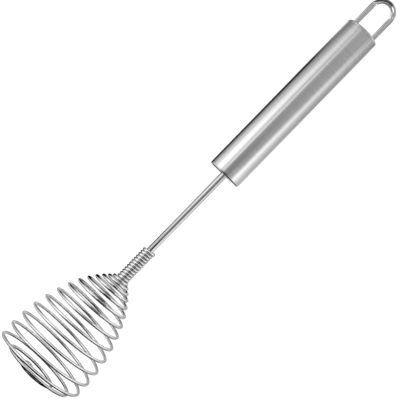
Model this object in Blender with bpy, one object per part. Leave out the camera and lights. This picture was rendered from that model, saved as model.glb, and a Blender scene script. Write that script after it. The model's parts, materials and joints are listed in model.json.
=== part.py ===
"""Spiral whisk, built in Blender as an assembly of separate welded pieces.

A wire coil is wound close round a rod, opens into a pear-shaped head and closes in a low, domed spiral.
The rod is welded into the front cap of a tube handle, and a wire loop hangs from its rear cap.
Everything is modelled along a local X axis, with X = 0 at the handle's front face, the loop at +X and
the coil at -X. An empty then lays the whisk on a worktop, where it rests on its head and on the
handle's rear rim. Units are metres and +Z is up.
"""
import math

import bmesh
import bpy
import numpy as np
from mathutils import Vector

MM = 0.001

# Handle
HANDLE_DIAMETER = 18.4 * MM
HANDLE_LENGTH = 100.0 * MM
TUBE_WALL = 0.8 * MM
FRONT_CAP_THICKNESS = 1.1 * MM
FRONT_EDGE_RADIUS = 0.8 * MM
REAR_CAP_THICKNESS = 1.7 * MM
REAR_EDGE_RADIUS = 1.3 * MM
PLUG_DEPTH = 2.5 * MM
PLUG_CHAMFER = 0.4 * MM
DIMPLE_DEPTH = 0.5 * MM
DIMPLE_WIDTH = 1.2 * MM

# Rod
ROD_DIAMETER = 3.7 * MM
ROD_EXPOSED = 52.1 * MM
ROD_TAIL = 6.0 * MM
ROD_CHAMFER = 0.3 * MM

# Coil
WIRE_DIAMETER = 1.6 * MM
NECK_TURNS = 9.5
NECK_PITCH = 2.04 * MM
HEAD_RADIUS = 24.3 * MM
HEAD_LENGTH = 60.8 * MM
OPEN_PITCH = 7.15 * MM
OPENING_TURNS = 10.0
END_TURNS = 2.0
END_RADIUS = 6.75 * MM
END_TIGHTENING = 0.25
END_DOME = 4.2 * MM
HOOK_RADIUS = 2.3 * MM
HOOK_RISE = 1.35 * MM

# The head's outline: turns from the neck, and share of the swell from the neck to the widest turn
HEAD_OUTLINE = (
    (0.0, 0.0),
    (2.0, 0.16),
    (4.0, 0.36),
    (6.0, 0.585),
    (8.0, 0.785),
    (10.0, 0.94),
    (12.0, 1.0),
    (13.0, 0.985),
)

# Hanging loop
LOOP_WIRE_DIAMETER = 2.5 * MM
LEG_TO_PLUG_EDGE = 2.25 * MM
LOOP_REACH = 20.6 * MM
LOOP_TAIL = 3.0 * MM

# Welds
ROD_WELD_LEG = 1.5 * MM
LOOP_WELD_LEG = 0.9 * MM
TACK_DIAMETER = 1.4 * MM

# Clearances between pieces that touch on the real object
SEAT_GAP = 0.3 * MM
COIL_GAP = 0.2 * MM
LEAST_COIL_GAP = 0.4 * MM

# Faces
NECK_POINTS = 10
HEAD_POINTS = 24
HOOK_POINTS = 7
HANDLE_SIDES = 48
ROD_SIDES = 24
WELD_SIDES = 16
EDGE_POINTS = 5
FILLET_POINTS = 4
BEND_POINTS = 19
SHARP_ANGLE = math.radians(35.0)

# Places that follow from the sizes
HANDLE_RADIUS = HANDLE_DIAMETER / 2
ROD_RADIUS = ROD_DIAMETER / 2
WIRE_RADIUS = WIRE_DIAMETER / 2
BORE_RADIUS = HANDLE_RADIUS - TUBE_WALL
PLUG_RADIUS = BORE_RADIUS - SEAT_GAP
LOOP_LEG_SPACING = 2 * (PLUG_RADIUS - LEG_TO_PLUG_EDGE)
FRONT_PLUG_FACE = FRONT_CAP_THICKNESS + PLUG_DEPTH
REAR_PLUG_FACE = HANDLE_LENGTH - REAR_CAP_THICKNESS - PLUG_DEPTH
NECK_TOP = -ROD_EXPOSED - WIRE_RADIUS
NECK_BOTTOM = NECK_TOP - NECK_TURNS * NECK_PITCH
NECK_RADIUS = (ROD_RADIUS + COIL_GAP + WIRE_RADIUS) / math.cos(math.pi / NECK_POINTS)
HEAD_CORNER_RADIUS = HEAD_RADIUS / math.cos(math.pi / HEAD_POINTS)
HEAD_TURNS = HEAD_OUTLINE[-1][0]
LAST_TURN_RADIUS = NECK_RADIUS + (HEAD_CORNER_RADIUS - NECK_RADIUS) * HEAD_OUTLINE[-1][1]


def clear_scene():
    """Remove every object that the scene starts with."""
    for old in list(bpy.data.objects):
        bpy.data.objects.remove(old, do_unlink=True)


def steel(name, colour, roughness):
    """A plain steel material."""
    material = bpy.data.materials.new(name)
    material.use_nodes = True
    shader = material.node_tree.nodes["Principled BSDF"]
    shader.inputs["Base Color"].default_value = (*colour, 1.0)
    shader.inputs["Metallic"].default_value = 1.0
    shader.inputs["Roughness"].default_value = roughness
    return material


def place(name, data, material, parent):
    """Link a mesh or curve as an object under the whisk's empty."""
    piece = bpy.data.objects.new(name, data)
    data.materials.append(material)
    piece.parent = parent
    bpy.context.collection.objects.link(piece)
    return piece


def arc(centre_x, centre_r, radius, start, end, count):
    """Points (x, r) on a round edge, from one angle to another in degrees."""
    points = []
    for step in range(count):
        angle = math.radians(start + (end - start) * step / (count - 1))
        points.append((centre_x + radius * math.cos(angle), centre_r + radius * math.sin(angle)))
    return points


def turned(name, profile, sides, material, parent, ring=True, centre=(0.0, 0.0)):
    """Turn a profile of (x, r) points about an axis along X; a ring's profile closes on itself."""
    form = bmesh.new()
    corners = [form.verts.new((x, 0.0, r)) for x, r in profile]
    edges = [form.edges.new(pair) for pair in zip(corners, corners[1:])]
    if ring:
        edges.append(form.edges.new((corners[-1], corners[0])))
    bmesh.ops.spin(
        form,
        geom=corners + edges,
        axis=(1.0, 0.0, 0.0),
        cent=(0.0, 0.0, 0.0),
        angle=math.tau,
        steps=sides,
        use_merge=True,
    )
    bmesh.ops.remove_doubles(form, verts=form.verts, dist=MM / 1000)
    bmesh.ops.recalc_face_normals(form, faces=form.faces)
    mesh = bpy.data.meshes.new(name)
    form.to_mesh(mesh)
    form.free()
    mesh.shade_smooth()
    mesh.set_sharp_from_angle(angle=SHARP_ANGLE)
    piece = place(name, mesh, material, parent)
    piece.location = (0.0, centre[0], centre[1])
    return piece


def wire(name, points, diameter, resolution, material, parent):
    """A round wire with closed ends along a list of points."""
    curve = bpy.data.curves.new(name, "CURVE")
    curve.dimensions = "3D"
    curve.bevel_depth = diameter / 2
    curve.bevel_resolution = resolution
    curve.use_fill_caps = True
    spline = curve.splines.new("POLY")
    spline.points.add(len(points) - 1)
    for target, point in zip(spline.points, points):
        target.co = (*point, 1.0)
        target.radius = 1.0
    spline.use_smooth = True
    return place(name, curve, material, parent)


def opened_travel(turn, start):
    """Turns' worth of travel added by a turn, where the pitch opens smoothly after the start."""
    share = (turn - start) / OPENING_TURNS
    inside = min(max(share, 0.0), 1.0)
    return OPENING_TURNS * (inside ** 3 - 0.5 * inside ** 4 + max(share - 1.0, 0.0))


def outline_share(turn):
    """Share of the head's swell at a turn, on a smooth curve through the outline's points."""
    knots = HEAD_OUTLINE
    index = 0
    while index < len(knots) - 2 and turn > knots[index + 1][0]:
        index += 1
    slopes = []
    for knot in (index, index + 1):
        before = knots[max(knot - 1, 0)]
        after = knots[min(knot + 1, len(knots) - 1)]
        slopes.append((after[1] - before[1]) / (after[0] - before[0]))
    (left, low), (right, high) = knots[index], knots[index + 1]
    width = right - left
    part = (turn - left) / width
    blend = part * part * (3.0 - 2.0 * part)
    lean_in = part * (1.0 - part) ** 2
    lean_out = part * part * (1.0 - part)
    return low + (high - low) * blend + width * (slopes[0] * lean_in - slopes[1] * lean_out)


def eased(share):
    """A share from 0 to 1 that starts and ends gently."""
    inside = min(share, 1.0)
    return inside * inside * (3.0 - 2.0 * inside)


def coil_travel(turn):
    """Distance along the axis from the neck's lower end, towards the tip."""
    if turn <= 0.0:
        return turn * NECK_PITCH
    widening = OPEN_PITCH - NECK_PITCH
    full_turns = (HEAD_LENGTH - HEAD_TURNS * NECK_PITCH) / widening
    start = HEAD_TURNS - OPENING_TURNS / 2 - full_turns
    head_turn = min(turn, HEAD_TURNS)
    added = opened_travel(head_turn, start) - opened_travel(0.0, start)
    travel = head_turn * NECK_PITCH + widening * added
    if turn > HEAD_TURNS:
        travel += END_DOME * eased((turn - HEAD_TURNS) / END_TURNS)
    return travel


def coil_radius(turn):
    """Radius of the centre line's corners at a turn counted from the neck's lower end."""
    if turn <= 0.0:
        return NECK_RADIUS
    if turn <= HEAD_TURNS:
        return NECK_RADIUS + (HEAD_CORNER_RADIUS - NECK_RADIUS) * outline_share(turn)
    past = (turn - HEAD_TURNS) / END_TURNS
    share = past * (1.0 - END_TIGHTENING * (1.0 - past))
    return LAST_TURN_RADIUS + (END_RADIUS - LAST_TURN_RADIUS) * share


def coil_point(turn):
    """A point on the wire; it winds right-handed, and whole turns lie on the +Y side."""
    angle = -math.tau * turn
    radius = coil_radius(turn)
    return (NECK_BOTTOM - coil_travel(turn), radius * math.cos(angle), radius * math.sin(angle))


def coil_turns():
    """The turns at which the wire has a point: few round the thin neck, more round the head."""
    neck = [-NECK_TURNS + step / NECK_POINTS for step in range(round(NECK_TURNS * NECK_POINTS))]
    head_steps = math.floor((HEAD_TURNS + END_TURNS) * HEAD_POINTS)
    head = [(step + 0.5) / HEAD_POINTS for step in range(head_steps)]
    return neck + head


def hook_points():
    """The half-round hook that ends the wire, bent in towards the axis and a little towards the handle."""
    last = HEAD_TURNS + END_TURNS
    x, y, z = coil_point(last)
    angle = -math.tau * last
    points = [(x, y, z)]
    for step in range(1, HOOK_POINTS + 1):
        bend = math.pi * step / HOOK_POINTS
        inward = HOOK_RADIUS * (1.0 - math.cos(bend))
        onward = HOOK_RADIUS * math.sin(bend)
        points.append((
            x + HOOK_RISE * eased(2.0 * bend / math.pi),
            y - inward * math.cos(angle) + onward * math.sin(angle),
            z - inward * math.sin(angle) - onward * math.cos(angle),
        ))
    return points


def least_gap(points, diameter):
    """Least clear distance of a wire to its own other turns, measured on points along it."""
    line = np.array(points)
    fine = np.concatenate([line[:-1] + (line[1:] - line[:-1]) * share for share in (0.0, 0.25, 0.5, 0.75)])
    order = np.concatenate([np.arange(len(line) - 1) + share for share in (0.0, 0.25, 0.5, 0.75)])
    fine = fine[np.argsort(order)]
    run = np.concatenate([[0.0], np.cumsum(np.linalg.norm(np.diff(fine, axis=0), axis=1))])
    least = math.inf
    for here, point in enumerate(fine):
        others = run > run[here] + 5 * diameter
        if others.any():
            least = min(least, np.linalg.norm(fine[others] - point, axis=1).min())
    return least - diameter


def make_tube(material, parent):
    """The handle's tube, between the flanges of its caps."""
    front = FRONT_CAP_THICKNESS + SEAT_GAP
    rear = HANDLE_LENGTH - REAR_CAP_THICKNESS - SEAT_GAP
    profile = [(front, BORE_RADIUS), (rear, BORE_RADIUS), (rear, HANDLE_RADIUS), (front, HANDLE_RADIUS)]
    return turned("handle_tube", profile, HANDLE_SIDES, material, parent)


def make_front_cap(material, parent):
    """Flange with a round edge, a plug in the tube, and a dimpled bore for the rod."""
    bore = ROD_RADIUS + SEAT_GAP
    edge_centre = HANDLE_RADIUS - FRONT_EDGE_RADIUS
    profile = [(DIMPLE_DEPTH, bore), (0.0, bore + DIMPLE_WIDTH)]
    profile += arc(FRONT_EDGE_RADIUS, edge_centre, FRONT_EDGE_RADIUS, 180, 90, EDGE_POINTS)
    profile += [
        (FRONT_CAP_THICKNESS, HANDLE_RADIUS),
        (FRONT_CAP_THICKNESS, PLUG_RADIUS),
        (FRONT_PLUG_FACE - PLUG_CHAMFER, PLUG_RADIUS),
        (FRONT_PLUG_FACE, PLUG_RADIUS - PLUG_CHAMFER),
        (FRONT_PLUG_FACE, bore),
    ]
    return turned("front_cap", profile, HANDLE_SIDES, material, parent)


def make_rear_cap(material, parent):
    """Flange with a round edge and a plug in the tube, with two holes for the loop's legs."""
    edge = arc(
        HANDLE_LENGTH - REAR_EDGE_RADIUS,
        HANDLE_RADIUS - REAR_EDGE_RADIUS,
        REAR_EDGE_RADIUS,
        90,
        0,
        EDGE_POINTS,
    )
    flange_back = HANDLE_LENGTH - REAR_CAP_THICKNESS
    profile = [
        (REAR_PLUG_FACE, 0.0),
        (REAR_PLUG_FACE, PLUG_RADIUS - PLUG_CHAMFER),
        (REAR_PLUG_FACE + PLUG_CHAMFER, PLUG_RADIUS),
        (flange_back, PLUG_RADIUS),
        (flange_back, HANDLE_RADIUS),
    ]
    profile += edge
    profile += [(HANDLE_LENGTH, 0.0)]
    cap = turned("rear_cap", profile, HANDLE_SIDES, material, parent, ring=False)
    hole = LOOP_WIRE_DIAMETER / 2 + SEAT_GAP
    for side in (-1, 1):
        drill_profile = [
            (REAR_PLUG_FACE - MM, 0.0),
            (REAR_PLUG_FACE - MM, hole),
            (HANDLE_LENGTH + MM, hole),
            (HANDLE_LENGTH + MM, 0.0),
        ]
        spot = (side * LOOP_LEG_SPACING / 2, 0.0)
        drill = turned("leg_drill", drill_profile, WELD_SIDES, material, parent, ring=False, centre=spot)
        drill.hide_render = True
        drill.display_type = "WIRE"
        cut = cap.modifiers.new("leg_hole", "BOOLEAN")
        cut.operation = "DIFFERENCE"
        cut.solver = "EXACT"
        cut.object = drill
    return cap


def make_rod(material, parent):
    """The rod, from its tail in the handle to its end inside the coil's neck."""
    tail = FRONT_PLUG_FACE + ROD_TAIL
    profile = [
        (NECK_BOTTOM, 0.0),
        (NECK_BOTTOM, ROD_RADIUS - ROD_CHAMFER),
        (NECK_BOTTOM + ROD_CHAMFER, ROD_RADIUS),
        (tail - ROD_CHAMFER, ROD_RADIUS),
        (tail, ROD_RADIUS - ROD_CHAMFER),
        (tail, 0.0),
    ]
    return turned("rod", profile, ROD_SIDES, material, parent, ring=False)


def make_coil(material, parent):
    """The whisk's wire: close turns on the rod, the open head, and the spiral that closes its end."""
    points = [coil_point(turn) for turn in coil_turns()] + hook_points()
    gap = least_gap(points, WIRE_DIAMETER)
    print(f"whisk_coil: least gap to itself {gap / MM:.2f} mm, over {LEAST_COIL_GAP / MM:.2f} mm wanted")
    return wire("whisk_coil", points, WIRE_DIAMETER, 1, material, parent)


def make_loop(material, parent):
    """The hanging loop: two straight legs and a half-round bend."""
    half = LOOP_LEG_SPACING / 2
    bend_x = HANDLE_LENGTH + LOOP_REACH - LOOP_WIRE_DIAMETER / 2 - half
    tail_x = REAR_PLUG_FACE - LOOP_TAIL
    points = [(tail_x, half, 0.0)]
    for step in range(BEND_POINTS):
        angle = math.pi * step / (BEND_POINTS - 1)
        points.append((bend_x + half * math.sin(angle), half * math.cos(angle), 0.0))
    points.append((tail_x, -half, 0.0))
    return wire("hanging_loop", points, LOOP_WIRE_DIAMETER, 3, material, parent)


def fillet(face_x, side, bar_radius, leg):
    """Profile of a weld fillet round a bar, on a face whose open side is towards +X or -X."""
    inner = bar_radius + SEAT_GAP
    start_x = face_x + side * SEAT_GAP
    profile = [(start_x, inner)]
    for step in range(FILLET_POINTS):
        angle = math.pi / 2 * step / (FILLET_POINTS - 1)
        profile.append((start_x + side * leg * math.sin(angle), inner + leg * math.cos(angle)))
    return profile


def make_welds(material, parent):
    """The fillets inside the handle, and the tack at the wire's first end."""
    turned(
        "rod_weld",
        fillet(FRONT_PLUG_FACE, 1, ROD_RADIUS, ROD_WELD_LEG),
        WELD_SIDES,
        material,
        parent,
    )
    for name, side in (("loop_weld_left", 1), ("loop_weld_right", -1)):
        turned(
            name,
            fillet(REAR_PLUG_FACE, -1, LOOP_WIRE_DIAMETER / 2, LOOP_WELD_LEG),
            WELD_SIDES,
            material,
            parent,
            centre=(side * LOOP_LEG_SPACING / 2, 0.0),
        )
    make_tack(material, parent)


def make_tack(material, parent):
    """A bead on the rod, just beyond the end of the wire."""
    end = Vector(coil_point(-NECK_TURNS))
    following = Vector(coil_point(-NECK_TURNS + 1 / NECK_POINTS))
    beyond = (end - following).normalized()
    radius = TACK_DIAMETER / 2
    centre = end + beyond * (SEAT_GAP + radius)
    across = Vector((0.0, centre.y, centre.z)).normalized() * (ROD_RADIUS + SEAT_GAP + radius)
    form = bmesh.new()
    bmesh.ops.create_uvsphere(form, u_segments=12, v_segments=8, radius=radius)
    mesh = bpy.data.meshes.new("coil_weld")
    form.to_mesh(mesh)
    form.free()
    mesh.shade_smooth()
    bead = place("coil_weld", mesh, material, parent)
    bead.location = (centre.x, across.y, across.z)
    return bead


def local_points(pieces):
    """Corners of the finished meshes, in the frame of the empty that carries them."""
    graph = bpy.context.evaluated_depsgraph_get()
    corners = []
    for piece in pieces:
        final = piece.evaluated_get(graph)
        mesh = final.to_mesh()
        corners += [final.matrix_world @ vertex.co for vertex in mesh.vertices]
        final.to_mesh_clear()
    return np.array([tuple(corner) for corner in corners])


def tilted(points, tilt):
    """Points turned by an angle about the Y axis, head end up."""
    x = points[:, 0] * math.cos(tilt) + points[:, 2] * math.sin(tilt)
    z = points[:, 2] * math.cos(tilt) - points[:, 0] * math.sin(tilt)
    return np.stack([x, points[:, 1], z], axis=1)


def lay_on_worktop(empty, head, grip):
    """Tilt the whisk until head and handle both touch z = 0, over the middle of its box."""
    head_points = local_points(head)
    grip_points = local_points(grip)
    tilt = 0.0
    for _ in range(12):
        head_now = tilted(head_points, tilt)
        grip_now = tilted(grip_points, tilt)
        head_low = head_now[head_now[:, 2].argmin()]
        grip_low = grip_now[grip_now[:, 2].argmin()]
        tilt += (grip_low[2] - head_low[2]) / (grip_low[0] - head_low[0])
    whole = np.concatenate([tilted(head_points, tilt), tilted(grip_points, tilt)])
    low = whole.min(axis=0)
    high = whole.max(axis=0)
    empty.rotation_euler = (0.0, tilt, 0.0)
    empty.location = (-(low[0] + high[0]) / 2, -(low[1] + high[1]) / 2, -low[2])
    print(f"tilt {math.degrees(tilt):.3f} degrees, whisk's own origin at {tuple(empty.location)}")


def build():
    """Make every piece and lay the whisk down."""
    clear_scene()
    brushed = steel("brushed_steel", (0.62, 0.62, 0.62), 0.35)
    polished = steel("polished_steel", (0.72, 0.72, 0.72), 0.15)
    weld = steel("weld_metal", (0.5, 0.5, 0.5), 0.45)
    empty = bpy.data.objects.new("whisk_axis", None)
    bpy.context.collection.objects.link(empty)
    tube = make_tube(brushed, empty)
    front_cap = make_front_cap(brushed, empty)
    rear_cap = make_rear_cap(brushed, empty)
    rod = make_rod(polished, empty)
    coil = make_coil(polished, empty)
    loop = make_loop(polished, empty)
    make_welds(weld, empty)
    bpy.context.view_layer.update()
    lay_on_worktop(empty, [coil, rod], [tube, front_cap, rear_cap, loop])


build()
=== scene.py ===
"""Spiral whisk: the fine surfaces and finishes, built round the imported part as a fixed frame.

The fine pieces are modelled along the whisk's own axis: local X, with X = 0 at the handle's front face,
the hanging loop at +X, the coil at -X and +Z towards the main camera. One matrix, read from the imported
record, then lays them where the part lies. Units are metres.
"""
import json
import math

import bpy
import numpy as np
from mathutils import Matrix, Vector

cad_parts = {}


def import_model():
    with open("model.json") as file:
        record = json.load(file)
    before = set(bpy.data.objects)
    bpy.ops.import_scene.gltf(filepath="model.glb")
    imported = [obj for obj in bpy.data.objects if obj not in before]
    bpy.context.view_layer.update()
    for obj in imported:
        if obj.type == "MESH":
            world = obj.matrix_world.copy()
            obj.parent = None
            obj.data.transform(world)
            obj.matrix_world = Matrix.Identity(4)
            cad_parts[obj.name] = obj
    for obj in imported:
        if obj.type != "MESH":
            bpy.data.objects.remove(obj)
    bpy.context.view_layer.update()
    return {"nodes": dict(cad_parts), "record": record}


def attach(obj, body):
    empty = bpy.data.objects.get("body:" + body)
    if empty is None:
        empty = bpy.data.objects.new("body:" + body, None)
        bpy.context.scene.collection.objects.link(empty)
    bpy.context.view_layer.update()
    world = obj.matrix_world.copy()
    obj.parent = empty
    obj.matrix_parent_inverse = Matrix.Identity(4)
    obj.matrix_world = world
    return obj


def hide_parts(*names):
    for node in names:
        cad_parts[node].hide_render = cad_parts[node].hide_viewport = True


MM = 0.001

# Handle
HANDLE_RADIUS = 9.2 * MM
HANDLE_LENGTH = 100.0 * MM
FRONT_CAP_THICKNESS = 1.1 * MM
FRONT_EDGE_RADIUS = 0.8 * MM
REAR_CAP_THICKNESS = 1.7 * MM
REAR_EDGE_RADIUS = 1.3 * MM
TUBE_WALL = 0.8 * MM
SEAM_WIDTH = 0.04 * MM
SEAM_DEPTH = 0.06 * MM
DIMPLE_DEPTH = 0.5 * MM
DIMPLE_WIDTH = 1.2 * MM

# Rod
ROD_RADIUS = 1.85 * MM
ROD_EXPOSED = 52.5 * MM
ROD_TAIL = 9.6 * MM
ROD_CHAMFER = 0.3 * MM

# Coil
WIRE_RADIUS = 0.8 * MM
NECK_TURNS = 11.5
NECK_LENGTH = 18.98 * MM
NECK_GAP = 0.02 * MM
HEAD_RADIUS = 24.2 * MM
HEAD_LENGTH = 60.8 * MM
OPEN_PITCH = 7.15 * MM
OPENING_TURNS = 10.0
END_TURNS = 2.0
END_RADIUS = 6.75 * MM
END_TIGHTENING = 0.25
END_DOME = 4.15 * MM
HOOK_RADIUS = 2.3 * MM
HOOK_RISE = 1.35 * MM
HEAD_OUTLINE = (
    (0.0, 0.0),
    (2.0, 0.16),
    (4.0, 0.36),
    (6.0, 0.585),
    (8.0, 0.785),
    (10.0, 0.94),
    (12.0, 1.0),
    (13.0, 0.985),
)
BEAD_RADIUS = 0.95 * MM
BEAD_LENGTHENING = 1.1
BEAD_OFFSET = WIRE_RADIUS * 0.6

# Hanging loop
LOOP_WIDTH = 2.6 * MM
LOOP_THICKNESS = 1.8 * MM
LOOP_SQUARENESS = 3.0
LOOP_HALF_WIDTH = 5.85 * MM
LOOP_REACH = 20.6 * MM
LOOP_TAIL = 7.0 * MM
LOOP_SPREAD = 1.12
LOOP_LEAN = math.radians(10.0)

# Fineness of the meshes
HANDLE_SIDES = 192
ROD_SIDES = 64
WIRE_SIDES = 16
LOOP_SIDES = 64
BEAD_SIDES = 32
BEAD_STEPS = 10
NECK_STEPS = 40
HEAD_STEPS = 120
HOOK_STEPS = 32
LEG_STEPS = 12
BEND_STEPS = 60
EDGE_STEPS = 8
POLE_RADIUS = 0.0001 * MM
SHARP_ANGLE = math.radians(40.0)

# Places that follow from the sizes
NECK_PITCH = NECK_LENGTH / NECK_TURNS
NECK_TOP = -ROD_EXPOSED - WIRE_RADIUS
NECK_BOTTOM = NECK_TOP - NECK_LENGTH
NECK_RADIUS = ROD_RADIUS + WIRE_RADIUS + NECK_GAP
HEAD_TURNS = HEAD_OUTLINE[-1][0]
LAST_TURN_RADIUS = NECK_RADIUS + (HEAD_RADIUS - NECK_RADIUS) * HEAD_OUTLINE[-1][1]

# Camera: square on to the whisk's axis, which runs from the lower left of the picture to the upper right
CAMERA_DISTANCE = 587.0 * MM
PICTURE_WIDTH = 200.0 * MM
CAMERA_TARGET = (-17.25 * MM, -0.2 * MM)
AXIS_IN_PICTURE = math.radians(45.79)
SENSOR_WIDTH = 36.0

# Stage
FLOOR_SIZE = 6.0
FLOOR_DROP = 0.2 * MM
CARD_DROP = 0.1 * MM
FLOOR_GLOW = 0.86
FLOOR_COLOUR = (0.35, 0.35, 0.35, 1.0)
WHITE = (1.0, 1.0, 1.0, 1.0)

# Cards on the worktop: name, grey level, low and high corner in X and Y, and the fade's width on each axis
FLOOR_CARDS = (
    ("side_card", 0.0, (-0.081, 0.0005), (-0.030, 0.075), (0.006, 0.003)),
    ("handle_card", 0.03, (-0.015, 0.0005), (0.106, 0.037), (0.024, 0.010)),
)

# Cards that stand upright beyond the coil's tip: name, low and high corner in Y and Z, and place along X
TIP_CARDS = (
    ("tip_card_low", (-0.045, -0.010), (0.045, 0.070), -0.140),
    ("tip_card_high", (-0.350, 0.110), (0.120, 0.420), -0.200),
    ("tip_card_side", (-0.350, -0.020), (-0.040, 0.125), -0.201),
)
TIP_CARD_FADE = (0.004, 0.004)

# Cards over the whisk, along its own axes: name, level, corners in X and Y, height above the axis, and fade
OVERHEAD_CARDS = (
    ("neck_card", 0.0, (-0.086, -0.020), (-0.046, 0.009), 0.040, (0.005, 0.003)),
    ("loop_flag", 0.08, (0.146, -0.020), (0.300, 0.120), 0.100, (0.010, 0.010)),
    ("loop_light", 2.0, (0.155, -0.031), (0.178, -0.008), 0.099, (0.005, 0.005)),
    ("loop_side", 0.40, (0.136, -0.400), (0.500, 0.0), 0.101, (0.010, 0.010)),
)

# Variation of every finish: the shares of the fine and the broad noise, and the spread that they give
FINE_SHARE = 0.7
BROAD_SHARE = 0.3
NOISE_ENDS = (0.25, 0.75)
LEVEL_SPREAD = (0.93, 1.07)
ROUGHNESS_SPREAD = (0.8, 1.25)


def eased(share):
    """A smooth step from 0 to 1."""
    inside = min(share, 1.0)
    return inside * inside * (3.0 - 2.0 * inside)


def opened_travel(turn, start):
    """Turns' worth of travel added by a turn, where the pitch opens smoothly after the start."""
    share = (turn - start) / OPENING_TURNS
    inside = min(max(share, 0.0), 1.0)
    return OPENING_TURNS * (inside ** 3 - 0.5 * inside ** 4 + max(share - 1.0, 0.0))


def outline_share(turn):
    """Share of the head's swell at a turn, on a smooth curve through the outline's points."""
    knots = HEAD_OUTLINE
    index = 0
    while index < len(knots) - 2 and turn > knots[index + 1][0]:
        index += 1
    slopes = []
    for knot in (index, index + 1):
        before = knots[max(knot - 1, 0)]
        after = knots[min(knot + 1, len(knots) - 1)]
        slopes.append((after[1] - before[1]) / (after[0] - before[0]))
    (left, low), (right, high) = knots[index], knots[index + 1]
    width = right - left
    part = (turn - left) / width
    blend = part * part * (3.0 - 2.0 * part)
    lean_in = part * (1.0 - part) ** 2
    lean_out = part * part * (1.0 - part)
    return low + (high - low) * blend + width * (slopes[0] * lean_in - slopes[1] * lean_out)


def coil_travel(turn):
    """Distance along the axis from the neck's lower end, towards the tip."""
    if turn <= 0.0:
        return turn * NECK_PITCH
    widening = OPEN_PITCH - NECK_PITCH
    full_turns = (HEAD_LENGTH - HEAD_TURNS * NECK_PITCH) / widening
    start = HEAD_TURNS - OPENING_TURNS / 2 - full_turns
    head_turn = min(turn, HEAD_TURNS)
    added = opened_travel(head_turn, start) - opened_travel(0.0, start)
    travel = head_turn * NECK_PITCH + widening * added
    if turn > HEAD_TURNS:
        travel += END_DOME * eased((turn - HEAD_TURNS) / END_TURNS)
    return travel


def coil_radius(turn):
    """Radius of the wire's centre line at a turn counted from the neck's lower end."""
    if turn <= 0.0:
        return NECK_RADIUS
    if turn <= HEAD_TURNS:
        return NECK_RADIUS + (HEAD_RADIUS - NECK_RADIUS) * outline_share(turn)
    past = (turn - HEAD_TURNS) / END_TURNS
    share = past * (1.0 - END_TIGHTENING * (1.0 - past))
    return LAST_TURN_RADIUS + (END_RADIUS - LAST_TURN_RADIUS) * share


def coil_point(turn):
    """A point on the wire; it winds right-handed, and whole turns lie on the +Y side."""
    angle = -math.tau * turn
    radius = coil_radius(turn)
    return (NECK_BOTTOM - coil_travel(turn), radius * math.cos(angle), radius * math.sin(angle))


def hook_points():
    """The half-round hook that ends the spiral inside its last turn."""
    last = HEAD_TURNS + END_TURNS
    x, y, z = coil_point(last)
    angle = -math.tau * last
    points = [(x, y, z)]
    for step in range(1, HOOK_STEPS + 1):
        bend = math.pi * step / HOOK_STEPS
        inward = HOOK_RADIUS * (1.0 - math.cos(bend))
        onward = HOOK_RADIUS * math.sin(bend)
        points.append((
            x + HOOK_RISE * eased(2.0 * bend / math.pi),
            y - inward * math.cos(angle) + onward * math.sin(angle),
            z - inward * math.sin(angle) - onward * math.cos(angle),
        ))
    return points


def arc(centre_x, centre_r, radius, start, end, steps):
    """Points (x, r) on a round edge, from one angle to another in degrees."""
    points = []
    for step in range(steps + 1):
        angle = math.radians(start + (end - start) * step / steps)
        points.append((centre_x + radius * math.cos(angle), centre_r + radius * math.sin(angle)))
    return points


def whisk_frame(record):
    """The matrix from the whisk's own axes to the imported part's, from the mount on the handle's end."""
    mount = next(m for m in record["mounts"] if m["name"] == "handle_end_face")
    along = Vector(mount["axis"]).normalized()
    across = Vector((0.0, 1.0, 0.0))
    up = along.cross(across)
    origin = Vector(mount["pos_m"]) - along * HANDLE_LENGTH
    matrix = Matrix.Identity(4)
    for column, direction in enumerate((along, across, up)):
        matrix.col[column] = (*direction, 0.0)
    matrix.col[3] = (*origin, 1.0)
    return matrix


def link(name, mesh, material, matrix, nodes):
    """Lay a finished mesh in the frame, ride it on the body and hide the CAD nodes it stands for."""
    mesh.transform(matrix)
    mesh.materials.append(material)
    mesh.shade_smooth()
    mesh.set_sharp_from_angle(angle=SHARP_ANGLE)
    piece = bpy.data.objects.new(name, mesh)
    bpy.context.scene.collection.objects.link(piece)
    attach(piece, "root")
    if nodes:
        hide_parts(*nodes)
    return piece


def grid_mesh(name, rings, closed_ends):
    """A mesh over rings of points; each ring closes on itself, and end rings may be filled."""
    count = len(rings)
    sides = len(rings[0])
    points = np.array(rings).reshape(-1, 3)
    faces = []
    for ring in range(count - 1):
        for side in range(sides):
            after = (side + 1) % sides
            low = ring * sides
            high = low + sides
            faces.append((low + side, low + after, high + after, high + side))
    if closed_ends:
        faces.append(tuple(reversed(range(sides))))
        faces.append(tuple(range((count - 1) * sides, count * sides)))
    mesh = bpy.data.meshes.new(name)
    mesh.from_pydata(points.tolist(), [], faces)
    mesh.validate()
    return mesh


def map_along_profile(mesh, profile, sides):
    """A UV map with U along the profile and V round the axis, to steer the brushing."""
    steps = np.linalg.norm(np.diff(np.array(profile), axis=0), axis=1)
    along = np.concatenate([[0.0], np.cumsum(steps)])
    layer = mesh.uv_layers.new(name="brushing")
    for face in mesh.polygons:
        places = [divmod(mesh.loops[loop].vertex_index, sides) for loop in face.loop_indices]
        wraps = max(side for _, side in places) - min(side for _, side in places) == sides - 1
        for loop, (ring, side) in zip(face.loop_indices, places):
            round_place = sides if wraps and side == 0 else side
            layer.data[loop].uv = (along[ring] / HANDLE_LENGTH, round_place / sides)


def turned_mesh(name, profile, sides, closed_ends=False):
    """A profile of (x, r) points turned about the X axis."""
    angles = np.arange(sides) * math.tau / sides
    circle = np.stack([np.cos(angles), np.sin(angles)], axis=1)
    rings = [np.column_stack([np.full(sides, x), circle * r]) for x, r in profile]
    mesh = grid_mesh(name, rings, closed_ends)
    map_along_profile(mesh, profile, sides)
    return mesh


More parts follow.
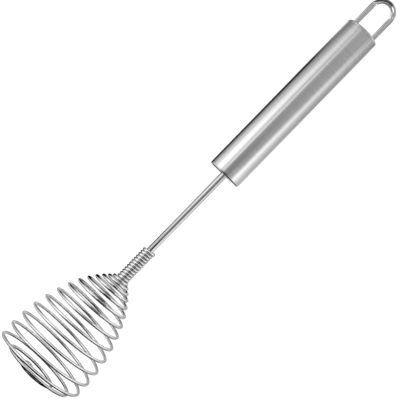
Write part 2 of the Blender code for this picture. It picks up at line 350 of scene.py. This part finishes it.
def section(width, thickness, sides, squareness=2.0):
    """Points round a wire's section: an ellipse at squareness 2, and flatter on top above it."""
    angles = np.arange(sides) * math.tau / sides
    across = np.sign(np.cos(angles)) * np.abs(np.cos(angles)) ** (2.0 / squareness)
    through = np.sign(np.sin(angles)) * np.abs(np.sin(angles)) ** (2.0 / squareness)
    return np.stack([across * width / 2.0, through * thickness / 2.0], axis=1)


def swept_mesh(name, points, outline, spreads=None, leans=None):
    """A wire with closed, slightly rounded ends along a list of points.

    Spreads widen the outline at each point and thin it to match; leans turn it about the wire.
    """
    line = np.array(points)
    if spreads is None:
        spreads = np.ones(len(line))
        leans = np.zeros(len(line))
    tangents = np.gradient(line, axis=0)
    tangents /= np.linalg.norm(tangents, axis=1, keepdims=True)
    side = np.cross(tangents[0], (1.0, 0.0, 0.0))
    if np.linalg.norm(side) < 0.1:
        side = np.cross(tangents[0], (0.0, 0.0, 1.0))
    rings = []
    for point, tangent, spread, lean in zip(line, tangents, spreads, leans):
        side = side - tangent * (side @ tangent)
        side /= np.linalg.norm(side)
        other = np.cross(tangent, side)
        wide = outline[:, 0] * spread
        thick = outline[:, 1] / spread
        along_side = wide * math.cos(lean) - thick * math.sin(lean)
        along_other = wide * math.sin(lean) + thick * math.cos(lean)
        rings.append(point + np.outer(along_side, side) + np.outer(along_other, other))
    rounded = outline[:, 0].max() * 0.25
    for end, inner, outward in ((0, 0, -1.0), (-1, -1, 1.0)):
        centre = line[end]
        shrunk = centre + (rings[inner] - centre) * 0.75 + tangents[end] * outward * rounded
        if end == 0:
            rings.insert(0, shrunk)
        else:
            rings.append(shrunk)
    return grid_mesh(name, rings, closed_ends=True)


def add(tree, kind, inputs=None, **settings):
    """Add a shader node; inputs hold values or other nodes' outputs."""
    made = tree.nodes.new(kind)
    for name, value in settings.items():
        setattr(made, name, value)
    for name, value in (inputs or {}).items():
        if isinstance(value, bpy.types.NodeSocket):
            tree.links.new(value, made.inputs[name])
        else:
            made.inputs[name].default_value = value
    return made


def math_node(tree, operation, *values):
    """A math node's output."""
    return add(tree, "ShaderNodeMath", dict(enumerate(values)), operation=operation).outputs[0]


def ramp(tree, factor, stops):
    """A colour ramp's output through stops of (place from 0 to 1, level)."""
    made = add(tree, "ShaderNodeValToRGB", {"Fac": factor})
    elements = made.color_ramp.elements
    while len(elements) < len(stops):
        elements.new(0.5)
    for element, (place, level) in zip(elements, stops):
        element.position = place
        element.color = (level, level, level, 1.0)
    return made.outputs["Color"]


def untilted(tree, vector, tilt):
    """A place or direction turned about Y, from the frame's axes to the whisk's own."""
    inputs = {"Vector": vector, "Angle": -tilt}
    return add(tree, "ShaderNodeVectorRotate", inputs, rotation_type="Y_AXIS").outputs[0]


def scaled_noise(tree, tilt, scale, detail, roughness=0.5):
    """Noise along the whisk's own axes, with its own scale along X, Y and Z, per metre."""
    place = untilted(tree, add(tree, "ShaderNodeTexCoord").outputs["Object"], tilt)
    mapped = add(tree, "ShaderNodeMapping", {"Vector": place, "Scale": scale}).outputs[0]
    inputs = {"Vector": mapped, "Scale": 1.0, "Detail": detail, "Roughness": roughness}
    return add(tree, "ShaderNodeTexNoise", inputs).outputs["Fac"]


def spread(value, factors):
    """Ramp stops that vary a value between two factors, over the noise's usual range."""
    return [(place, value * factor) for place, factor in zip(NOISE_ENDS, factors)]


def steel(name, tilt, level, roughness, anisotropy, grain, soft, depth):
    """Steel with a fine grain. Grain and soft give the scales of the fine and the broad variation."""
    material = bpy.data.materials.new(name)
    material.use_nodes = True
    tree = material.node_tree
    shader = tree.nodes["Principled BSDF"]
    fine = scaled_noise(tree, tilt, grain, 3.0, 0.6)
    broad = scaled_noise(tree, tilt, soft, 2.0)
    fine_part = math_node(tree, "MULTIPLY", fine, FINE_SHARE)
    broad_part = math_node(tree, "MULTIPLY", broad, BROAD_SHARE)
    mixed = math_node(tree, "ADD", fine_part, broad_part)
    colour = ramp(tree, mixed, spread(level, LEVEL_SPREAD))
    rough = ramp(tree, mixed, spread(roughness, ROUGHNESS_SPREAD))
    bump = add(tree, "ShaderNodeBump", {"Strength": 1.0, "Distance": depth, "Height": fine})
    tree.links.new(colour, shader.inputs["Base Color"])
    tree.links.new(rough, shader.inputs["Roughness"])
    tree.links.new(bump.outputs["Normal"], shader.inputs["Normal"])
    shader.inputs["Metallic"].default_value = 1.0
    shader.inputs["Anisotropic"].default_value = anisotropy
    if anisotropy:
        along = add(tree, "ShaderNodeTangent", direction_type="UV_MAP", uv_map="brushing")
        tree.links.new(along.outputs[0], shader.inputs["Tangent"])
    return material


def make_materials(tilt):
    """Every finish on the whisk."""
    return {
        "brushed": steel(
            "brushed_steel", tilt, 0.66, 0.16, 0.5, (3500.0, 60.0, 60.0), (250.0, 25.0, 25.0), 0.002 * MM
        ),
        "rim": steel(
            "smooth_rim_steel", tilt, 0.66, 0.07, 0.0, (900.0, 900.0, 900.0), (250.0, 60.0, 60.0), 0.001 * MM
        ),
        "cap": steel(
            "brushed_cap_steel", tilt, 0.60, 0.32, 0.0, (900.0, 900.0, 900.0), (250.0, 60.0, 60.0), 0.002 * MM
        ),
        "polished": steel(
            "polished_steel", tilt, 0.78, 0.05, 0.0, (900.0, 900.0, 900.0), (120.0, 120.0, 120.0), 0.001 * MM
        ),
        "shank": steel(
            "shank_steel", tilt, 0.45, 0.08, 0.0, (900.0, 900.0, 900.0), (120.0, 120.0, 120.0), 0.001 * MM
        ),
        "weld": steel(
            "weld_metal", tilt, 0.5, 0.35, 0.0, (2500.0, 2500.0, 2500.0), (500.0, 500.0, 500.0), 0.02 * MM
        ),
    }


def make_handle(materials, matrix):
    """The handle's tube and its two ends, with a hairline seam where each end cap meets the tube."""
    front = FRONT_CAP_THICKNESS + SEAM_WIDTH
    rear = HANDLE_LENGTH - REAR_CAP_THICKNESS - SEAM_WIDTH
    groove = SEAM_DEPTH
    shell = [
        (front, HANDLE_RADIUS - TUBE_WALL),
        (front, HANDLE_RADIUS - groove),
        (front + groove, HANDLE_RADIUS),
        (rear - groove, HANDLE_RADIUS),
        (rear, HANDLE_RADIUS - groove),
        (rear, HANDLE_RADIUS - TUBE_WALL),
        (front, HANDLE_RADIUS - TUBE_WALL),
    ]
    mesh = turned_mesh("handle_shell", shell, HANDLE_SIDES)
    link("handle_shell", mesh, materials["brushed"], matrix, ["handle_tube"])

    centre = HANDLE_RADIUS - FRONT_EDGE_RADIUS
    front_profile = [
        (FRONT_CAP_THICKNESS, ROD_RADIUS),
        (DIMPLE_DEPTH, ROD_RADIUS),
        (DIMPLE_DEPTH * 0.4, ROD_RADIUS + DIMPLE_WIDTH * 0.4),
        (0.0, ROD_RADIUS + DIMPLE_WIDTH),
    ]
    front_profile += arc(FRONT_EDGE_RADIUS, centre, FRONT_EDGE_RADIUS, 180, 90, EDGE_STEPS)
    front_profile += [
        (FRONT_CAP_THICKNESS, HANDLE_RADIUS),
        (FRONT_CAP_THICKNESS, ROD_RADIUS),
    ]
    mesh = turned_mesh("front_end", front_profile, HANDLE_SIDES)
    link("front_end", mesh, materials["rim"], matrix, ["front_cap"])

    back = HANDLE_LENGTH - REAR_CAP_THICKNESS
    rear_profile = [(back, POLE_RADIUS), (back, HANDLE_RADIUS)]
    rear_profile += arc(
        HANDLE_LENGTH - REAR_EDGE_RADIUS,
        HANDLE_RADIUS - REAR_EDGE_RADIUS,
        REAR_EDGE_RADIUS,
        90,
        0,
        EDGE_STEPS,
    )
    rear_profile += [(HANDLE_LENGTH, POLE_RADIUS)]
    mesh = turned_mesh("rear_end", rear_profile, HANDLE_SIDES, closed_ends=True)
    link("rear_end", mesh, materials["cap"], matrix, ["rear_cap"])


def make_rod(materials, matrix):
    """The polished shank, from inside the handle to its end inside the coil's neck."""
    profile = [
        (NECK_BOTTOM, ROD_RADIUS * 0.2),
        (NECK_BOTTOM, ROD_RADIUS - ROD_CHAMFER),
        (NECK_BOTTOM + ROD_CHAMFER, ROD_RADIUS),
        (ROD_TAIL - ROD_CHAMFER, ROD_RADIUS),
        (ROD_TAIL, ROD_RADIUS - ROD_CHAMFER),
        (ROD_TAIL, ROD_RADIUS * 0.2),
    ]
    mesh = turned_mesh("shank", profile, ROD_SIDES, closed_ends=True)
    link("shank", mesh, materials["shank"], matrix, ["rod"])


def make_coil(materials, matrix):
    """The wire, with its turns touching on the rod, and the weld bead at its first end."""
    turns = list(np.arange(-NECK_TURNS, 0.0, 1.0 / NECK_STEPS))
    turns += list(np.arange(0.0, HEAD_TURNS + END_TURNS, 1.0 / HEAD_STEPS))
    points = [coil_point(turn) for turn in turns] + hook_points()
    wire = section(2.0 * WIRE_RADIUS, 2.0 * WIRE_RADIUS, WIRE_SIDES)
    mesh = swept_mesh("coil_wire", points, wire)
    link("coil_wire", mesh, materials["polished"], matrix, ["whisk_coil"])

    end = Vector(coil_point(-NECK_TURNS))
    following = Vector(coil_point(-NECK_TURNS + 1.0 / NECK_STEPS))
    beyond = (end - following).normalized()
    bead = []
    for step in range(BEAD_STEPS + 1):
        angle = math.pi * step / BEAD_STEPS
        along = -math.cos(angle) * BEAD_RADIUS * BEAD_LENGTHENING
        bead.append((along, max(math.sin(angle), 0.01) * BEAD_RADIUS))
    mesh = turned_mesh("coil_bead", bead, BEAD_SIDES, closed_ends=True)
    turn = Vector((1.0, 0.0, 0.0)).rotation_difference(beyond).to_matrix().to_4x4()
    mesh.transform(Matrix.Translation(end + beyond * BEAD_OFFSET) @ turn)
    link("coil_bead", mesh, materials["weld"], matrix, ["coil_weld"])


def make_loop(materials, matrix):
    """The hanging loop of flattened wire: two straight legs, and a bend where it spreads and leans."""
    half = LOOP_HALF_WIDTH
    bend_x = HANDLE_LENGTH + LOOP_REACH - LOOP_WIDTH / 2.0 - half
    tail_x = HANDLE_LENGTH - LOOP_TAIL
    points = [(x, half, 0.0) for x in np.linspace(tail_x, bend_x, LEG_STEPS)[:-1]]
    bent = [0.0] * len(points)
    for angle in np.linspace(0.0, math.pi, BEND_STEPS):
        share = eased(2.0 * math.sin(angle))
        middle = half - share * (LOOP_SPREAD - 1.0) * LOOP_WIDTH / 2.0
        points.append((bend_x + middle * math.sin(angle), middle * math.cos(angle), 0.0))
        bent.append(share)
    points += [(x, -half, 0.0) for x in np.linspace(bend_x, tail_x, LEG_STEPS)[1:]]
    bent += [0.0] * (len(points) - len(bent))
    spreads = [1.0 + share * (LOOP_SPREAD - 1.0) for share in bent]
    leans = [-share * LOOP_LEAN for share in bent]
    outline = section(LOOP_WIDTH, LOOP_THICKNESS, LOOP_SIDES, LOOP_SQUARENESS)
    mesh = swept_mesh("loop_wire", points, outline, spreads, leans)
    link("loop_wire", mesh, materials["polished"], matrix, ["hanging_loop"])


def finish_hidden_welds(nodes, materials):
    """The fillets inside the handle keep their CAD meshes and take the weld's finish."""
    for name in ("rod_weld", "loop_weld_left", "loop_weld_right"):
        mesh = nodes[name].data
        mesh.materials.clear()
        mesh.materials.append(materials["weld"])


def angle_place(degrees):
    """Place from 0 to 1 on a ramp of an angle from -180 to 180 degrees."""
    return (degrees + 180.0) / 360.0


# What metal sees, by the angle round the whisk's axis: 0 is towards the camera, minus is the +Y side and 180
# is the worktop. Each row holds for one share of the direction along the axis, from -1 (tip) to 1 (loop).
STUDIO = (
    (-1.0, (
        (-180, 0.3), (-110, 0.5), (-60, 0.7), (60, 0.7), (110, 0.5), (180, 0.3),
    )),
    (-0.5, (
        (-180, 0.1), (-150, 0.3), (-125, 0.6), (-95, 1.0), (-65, 1.0), (-45, 0.7), (-20, 0.5), (30, 0.5),
        (60, 0.7), (90, 0.5), (140, 0.3), (180, 0.1),
    )),
    (-0.36, (
        (-180, 0.0), (-160, 0.5), (-130, 0.8), (-100, 1.1), (-70, 1.2), (-50, 1.2), (-38, 0.8), (-28, 0.0),
        (35, 0.0), (50, 0.1), (65, 0.1), (84, 0.0), (125, 0.0), (145, 0.4), (180, 0.2),
    )),
    (-0.3, (
        (-180, 0.0), (-160, 0.6), (-130, 0.9), (-100, 1.2), (-70, 1.4), (-50, 1.4), (-38, 1.0), (-28, 0.0),
        (35, 0.0), (50, 0.15), (65, 0.15), (84, 0.0), (125, 0.0), (145, 0.4), (180, 0.4),
    )),
    (-0.16, (
        (-180, 0.5), (-150, 0.8), (-120, 0.9), (-90, 1.3), (-70, 1.5), (-50, 1.5), (-40, 1.2), (-30, 0.1),
        (0, 0.0), (26, 0.0), (38, 0.15), (48, 0.4), (62, 0.4), (78, 0.1), (92, 0.0), (118, 0.1),
        (135, 0.5), (180, 0.5),
    )),
    (-0.08, (
        (-180, 0.3), (-140, 0.35), (-115, 0.60), (-90, 0.75), (-65, 1.1), (-48, 1.1), (-36, 0.80),
        (-22, 0.40), (-12, 0.06), (10, 0.04), (18, 0.3), (26, 1.1), (34, 1.6), (70, 1.7), (110, 1.6),
        (140, 1.1), (180, 0.8),
    )),
    (0.02, (
        (-180, 0.5), (-150, 0.45), (-138, 0.40), (-125, 0.36), (-112, 0.50), (-101, 0.95), (-94, 1.10),
        (-84, 1.10), (-77, 1.55), (-70, 1.85), (-50, 2.2), (-42, 1.9), (-35, 1.3), (-29, 1.1), (-23, 1.6),
        (-17, 0.9), (-11, 0.44), (0, 0.34), (20, 0.28), (42, 0.34), (50, 0.80), (58, 1.45), (70, 1.9),
        (82, 1.3), (95, 1.0), (122, 0.66), (140, 0.75), (180, 0.80),
    )),
    (0.12, (
        (-180, 0.5), (-150, 0.45), (-136, 0.40), (-122, 0.36), (-110, 0.40), (-101, 0.66), (-94, 0.76),
        (-84, 0.72), (-77, 0.95), (-70, 1.12), (-56, 1.30), (-46, 1.15), (-38, 0.78), (-30, 0.64),
        (-23, 1.30), (-17, 0.76), (-11, 0.52), (-3, 0.47), (34, 0.47), (48, 0.45), (56, 0.60), (64, 0.92),
        (76, 1.10), (86, 0.88), (96, 0.66), (112, 0.53), (128, 0.46), (142, 0.50), (180, 0.55),
    )),
    (0.2, (
        (-180, 1.0), (-150, 0.70), (-124, 0.36), (-105, 0.28), (-96, 0.38), (-84, 0.42), (-76, 0.56),
        (-66, 0.74), (-54, 0.92), (-42, 0.86), (-34, 0.66), (-28, 0.62), (-21, 0.80), (-16, 0.60),
        (-10, 0.45), (-3, 0.41), (48, 0.43), (58, 0.58), (68, 0.92), (78, 1.06), (90, 0.78), (110, 0.60),
        (124, 0.46), (140, 0.46), (180, 0.55),
    )),
    (0.215, (
        (-180, 0.4), (-124, 0.12), (-90, 0.12), (-66, 0.2), (-50, 0.35), (-35, 0.47), (35, 0.47), (50, 0.35),
        (66, 0.2), (90, 0.12), (124, 0.12), (180, 0.4),
    )),
    (0.24, (
        (-180, 0.4), (-124, 0.12), (-90, 0.12), (-66, 0.2), (-50, 0.35), (-35, 0.47), (35, 0.47), (50, 0.35),
        (66, 0.2), (90, 0.12), (124, 0.12), (180, 0.4),
    )),
    (0.3, (
        (-180, 0.5), (-124, 0.3), (-90, 0.6), (-60, 1.1), (-25, 0.9), (25, 0.9), (60, 1.2), (100, 0.8),
        (140, 0.5), (180, 0.4),
    )),
    (0.55, (
        (-180, 0.2), (-140, 0.3), (-115, 0.5), (-92, 1.1), (-60, 1.5), (-45, 1.3), (-25, 1.1), (10, 1.1),
        (30, 1.3), (60, 1.5), (90, 1.4), (120, 1.1), (150, 0.9), (180, 0.3),
    )),
    (1.0, (
        (-180, 0.5), (-110, 0.6), (-80, 0.9), (80, 0.9), (110, 0.6), (180, 0.5),
    )),
)


def make_world(tilt):
    """White for camera rays alone; every other ray sees the studio's light by direction."""
    world = bpy.data.worlds.new("studio")
    world.use_nodes = True
    bpy.context.scene.world = world
    tree = world.node_tree
    tree.nodes.clear()
    direction = add(tree, "ShaderNodeTexCoord").outputs["Generated"]
    parts = add(tree, "ShaderNodeSeparateXYZ", {0: untilted(tree, direction, tilt)}).outputs
    minus_y = math_node(tree, "MULTIPLY", parts["Y"], -1.0)
    angle = math_node(tree, "ARCTAN2", minus_y, parts["Z"])
    around = math_node(tree, "MULTIPLY_ADD", angle, 1.0 / math.tau, 0.5)
    rows = [
        ramp(tree, around, [(angle_place(degrees), light) for degrees, light in stops])
        for _, stops in STUDIO
    ]
    shares = [share for share, _ in STUDIO]
    level = rows[0]
    for row, before, share in zip(rows[1:], shares, shares[1:]):
        blend = add(tree, "ShaderNodeMapRange", {0: parts["X"], 1: before, 2: share}).outputs[0]
        inputs = {"Factor": blend, "A": level, "B": row}
        level = add(tree, "ShaderNodeMix", inputs, data_type="FLOAT").outputs[0]
    studio = add(tree, "ShaderNodeBackground", {"Color": level, "Strength": 1.0}).outputs[0]
    white = add(tree, "ShaderNodeBackground", {"Color": WHITE, "Strength": 1.0}).outputs[0]
    seen = add(tree, "ShaderNodeLightPath").outputs["Is Camera Ray"]
    both = add(tree, "ShaderNodeMixShader", {0: seen, 1: studio, 2: white}).outputs[0]
    add(tree, "ShaderNodeOutputWorld", {"Surface": both})


def flat_plane(name, low, high, height, material):
    """A level rectangle for the stage."""
    points = [
        (low[0], low[1], height),
        (high[0], low[1], height),
        (high[0], high[1], height),
        (low[0], high[1], height),
    ]
    mesh = bpy.data.meshes.new(name)
    mesh.from_pydata(points, [], [(0, 1, 2, 3)])
    mesh.materials.append(material)
    plane = bpy.data.objects.new(name, mesh)
    bpy.context.scene.collection.objects.link(plane)
    return plane


def make_floor():
    """A floor that the camera sees as white, with a soft shadow.

    It is hidden from reflections, so metal sees the studio's light in its place.
    """
    material = bpy.data.materials.new("floor_white")
    material.use_nodes = True
    tree = material.node_tree
    tree.nodes.clear()
    path = add(tree, "ShaderNodeLightPath").outputs
    seen = math_node(tree, "MAXIMUM", path["Is Camera Ray"], path["Is Glossy Ray"])
    seen = math_node(tree, "MAXIMUM", seen, path["Is Transmission Ray"])
    lit = add(tree, "ShaderNodeBsdfDiffuse", {"Color": FLOOR_COLOUR}).outputs[0]
    strength = math_node(tree, "MULTIPLY", seen, FLOOR_GLOW)
    glow = add(tree, "ShaderNodeEmission", {"Color": WHITE, "Strength": strength}).outputs[0]
    whole = add(tree, "ShaderNodeAddShader", {0: lit, 1: glow}).outputs[0]
    add(tree, "ShaderNodeOutputMaterial", {"Surface": whole})
    half = FLOOR_SIZE / 2
    floor = flat_plane("floor", (-half, -half), (half, half), -FLOOR_DROP, material)
    floor.visible_glossy = False


def make_card(name, level, low, high, height, fade, matrix=None):
    """A card that only reflections see. It fades out inside its edges, over a width along X and along Y."""
    material = bpy.data.materials.new(name)
    material.use_nodes = True
    tree = material.node_tree
    tree.nodes.clear()
    place = add(tree, "ShaderNodeTexCoord").outputs["Object"]
    parts = add(tree, "ShaderNodeSeparateXYZ", {0: place}).outputs
    solid = None
    for axis, first, last, soft in (("X", low[0], high[0], fade[0]), ("Y", low[1], high[1], fade[1])):
        into = add(tree, "ShaderNodeMapRange", {0: parts[axis], 1: first, 2: first + soft}).outputs[0]
        out = add(tree, "ShaderNodeMapRange", {0: parts[axis], 1: last, 2: last - soft}).outputs[0]
        both = math_node(tree, "MULTIPLY", into, out)
        solid = both if solid is None else math_node(tree, "MULTIPLY", solid, both)
    clear = add(tree, "ShaderNodeBsdfTransparent").outputs[0]
    colour = (level, level, level, 1.0)
    tone = add(tree, "ShaderNodeEmission", {"Color": colour, "Strength": 1.0}).outputs[0]
    mixed = add(tree, "ShaderNodeMixShader", {0: solid, 1: clear, 2: tone}).outputs[0]
    add(tree, "ShaderNodeOutputMaterial", {"Surface": mixed})
    card = flat_plane(name, low, high, height, material)
    if matrix is not None:
        card.matrix_world = matrix
    card.visible_camera = False
    card.visible_diffuse = False
    card.visible_transmission = False
    card.visible_shadow = False


def make_cards(matrix):
    """Cards that only reflections see.

    Two lie on the worktop at the +Y side, three stand upright beyond the coil's tip, one hangs over the neck,
    and three hang over the loop: a dark grey one, a small bright one in front and a grey one beside it.
    """
    for name, level, low, high, fade in FLOOR_CARDS:
        make_card(name, level, low, high, -CARD_DROP, fade)
    for name, low, high, place in TIP_CARDS:
        upright = Matrix(((0, 0, 1, place), (1, 0, 0, 0), (0, 1, 0, 0), (0, 0, 0, 1)))
        make_card(name, 0.0, low, high, 0.0, TIP_CARD_FADE, upright)
    for name, level, low, high, height, fade in OVERHEAD_CARDS:
        make_card(name, level, low, high, height, fade, matrix)


def make_camera(matrix):
    """A camera square on to the whisk's axis, at the photograph's framing."""
    right = Vector((math.cos(AXIS_IN_PICTURE), -math.sin(AXIS_IN_PICTURE), 0.0))
    up = Vector((math.sin(AXIS_IN_PICTURE), math.cos(AXIS_IN_PICTURE), 0.0))
    back = Vector((0.0, 0.0, 1.0))
    local = Matrix.Identity(4)
    for column, direction in enumerate((right, up, back)):
        local.col[column] = (*direction, 0.0)
    local.col[3] = (*CAMERA_TARGET, CAMERA_DISTANCE, 1.0)
    data = bpy.data.cameras.new("camera")
    data.sensor_width = SENSOR_WIDTH
    data.lens = SENSOR_WIDTH * CAMERA_DISTANCE / PICTURE_WIDTH
    data.clip_start = 0.01
    camera = bpy.data.objects.new("camera", data)
    bpy.context.scene.collection.objects.link(camera)
    camera.matrix_world = matrix @ local
    bpy.context.scene.camera = camera


def build():
    """Make the camera, the stage and every fine piece."""
    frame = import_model()
    bpy.context.scene.view_settings.view_transform = "Standard"
    matrix = whisk_frame(frame["record"])
    tilt = matrix.to_euler().y
    make_camera(matrix)
    make_world(tilt)
    make_floor()
    make_cards(matrix)
    materials = make_materials(tilt)
    make_handle(materials, matrix)
    make_rod(materials, matrix)
    make_coil(materials, matrix)
    make_loop(materials, matrix)
    finish_hidden_welds(frame["nodes"], materials)
    bpy.context.view_layer.update()


build()
